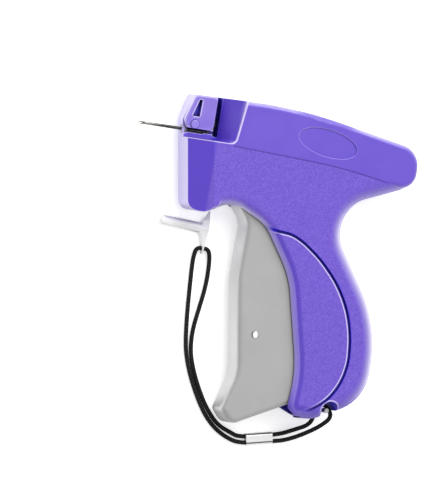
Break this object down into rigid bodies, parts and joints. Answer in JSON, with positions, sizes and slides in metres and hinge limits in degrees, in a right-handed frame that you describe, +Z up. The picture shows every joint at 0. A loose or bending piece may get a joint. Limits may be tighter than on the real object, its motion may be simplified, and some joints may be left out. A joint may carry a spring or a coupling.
{
  "type": "garment tag attacher",
  "caption": "Pistol-shaped garment tag attacher with a squeeze trigger, hollow needle, needle lock cover, wrist strap and needle cap.",
  "frame": {"origin": "middle of the gun's footprint on the table, the gun lying on its right side", "axes": "+X from the needle towards the tail, +Y from the foot of the grip towards the top of the barrel, +Z up through the gun's thickness, out of its left side"},
  "size_m": [0.1409, 0.1625, 0.024],
  "materials": {
    "casing_plastic": "moulded, fine texture on the grip",
    "trigger_plastic": "satin moulded",
    "cover_plastic": "smooth moulded",
    "white_plastic": "smooth moulded",
    "clear_plastic": "soft translucent moulding",
    "needle_steel": "drawn",
    "steel": "ground",
    "spring_steel": "drawn wire",
    "nylon": "moulded",
    "rubber": "moulded",
    "cord": "braided",
    "ferrule_metal": "crimped sleeve"
  },
  "bodies": {
    "casing": {"left_casing": "casing_plastic", "right_casing": "casing_plastic", "needle": "needle_steel", "needle_base": "white_plastic", "lock_pin": "cover_plastic", "feed_gear_shaft": "steel", "cutter_blade": "steel", "trigger_pivot_pin": "steel", "lever_pivot_pin": "steel", "return_spring": "spring_steel", "rod_guide": "nylon", "slide_bumper": "rubber", "casing_screws": "steel", "strap_post": "steel", "strap_cord": "cord", "ferrule": "ferrule_metal", "needle_cap": "clear_plastic"},
    "trigger": {"trigger": "trigger_plastic", "push_arm": "steel", "trigger_pin": "steel", "drive_pin": "steel"},
    "lever": {"drive_lever": "nylon"},
    "slide": {"slide_block": "nylon", "slide_pin": "steel", "ejector_rod": "needle_steel", "feed_finger": "spring_steel"},
    "lock": {"needle_lock_cover": "cover_plastic"},
    "gear": {"feed_gear": "nylon"}
  },
  "joints": [
    {"name": "trigger_pivot", "type": "hinge", "parent": "casing", "child": "trigger", "pos_m": [-0.0057, 0.0379, 0.012], "axis": [0, 0, 1], "range_deg": [0, 14], "stiffness_Nm_per_rad": 0.6, "springref_deg": -8.59},
    {"name": "lever_pivot", "type": "hinge", "parent": "casing", "child": "lever", "pos_m": [0.0348, -0.0036, 0.012], "axis": [0, 0, 1], "range_deg": [0, 36.41], "deforming": ["return_spring"]},
    {"name": "slide_travel", "type": "slide", "parent": "casing", "child": "slide", "axis": [-1, 0, 0], "range_m": [0, 0.04001]},
    {"name": "needle_lock", "type": "hinge", "parent": "casing", "child": "lock", "pos_m": [-0.0431, 0.0618, 0.0134], "axis": [0, 0, 1], "range_deg": [0, 80]},
    {"name": "feed_gear_spin", "type": "hinge", "parent": "casing", "child": "gear", "pos_m": [-0.0312, 0.0634, 0.0056], "axis": [1, 0, 0], "continuous": true}
  ],
  "couplings": [
    {"joint": "lever_pivot", "follows": "trigger_pivot", "ratio": 2.6},
    {"joint": "slide_travel", "follows": "trigger_pivot", "m_per_rad": 0.1637}
  ]
}
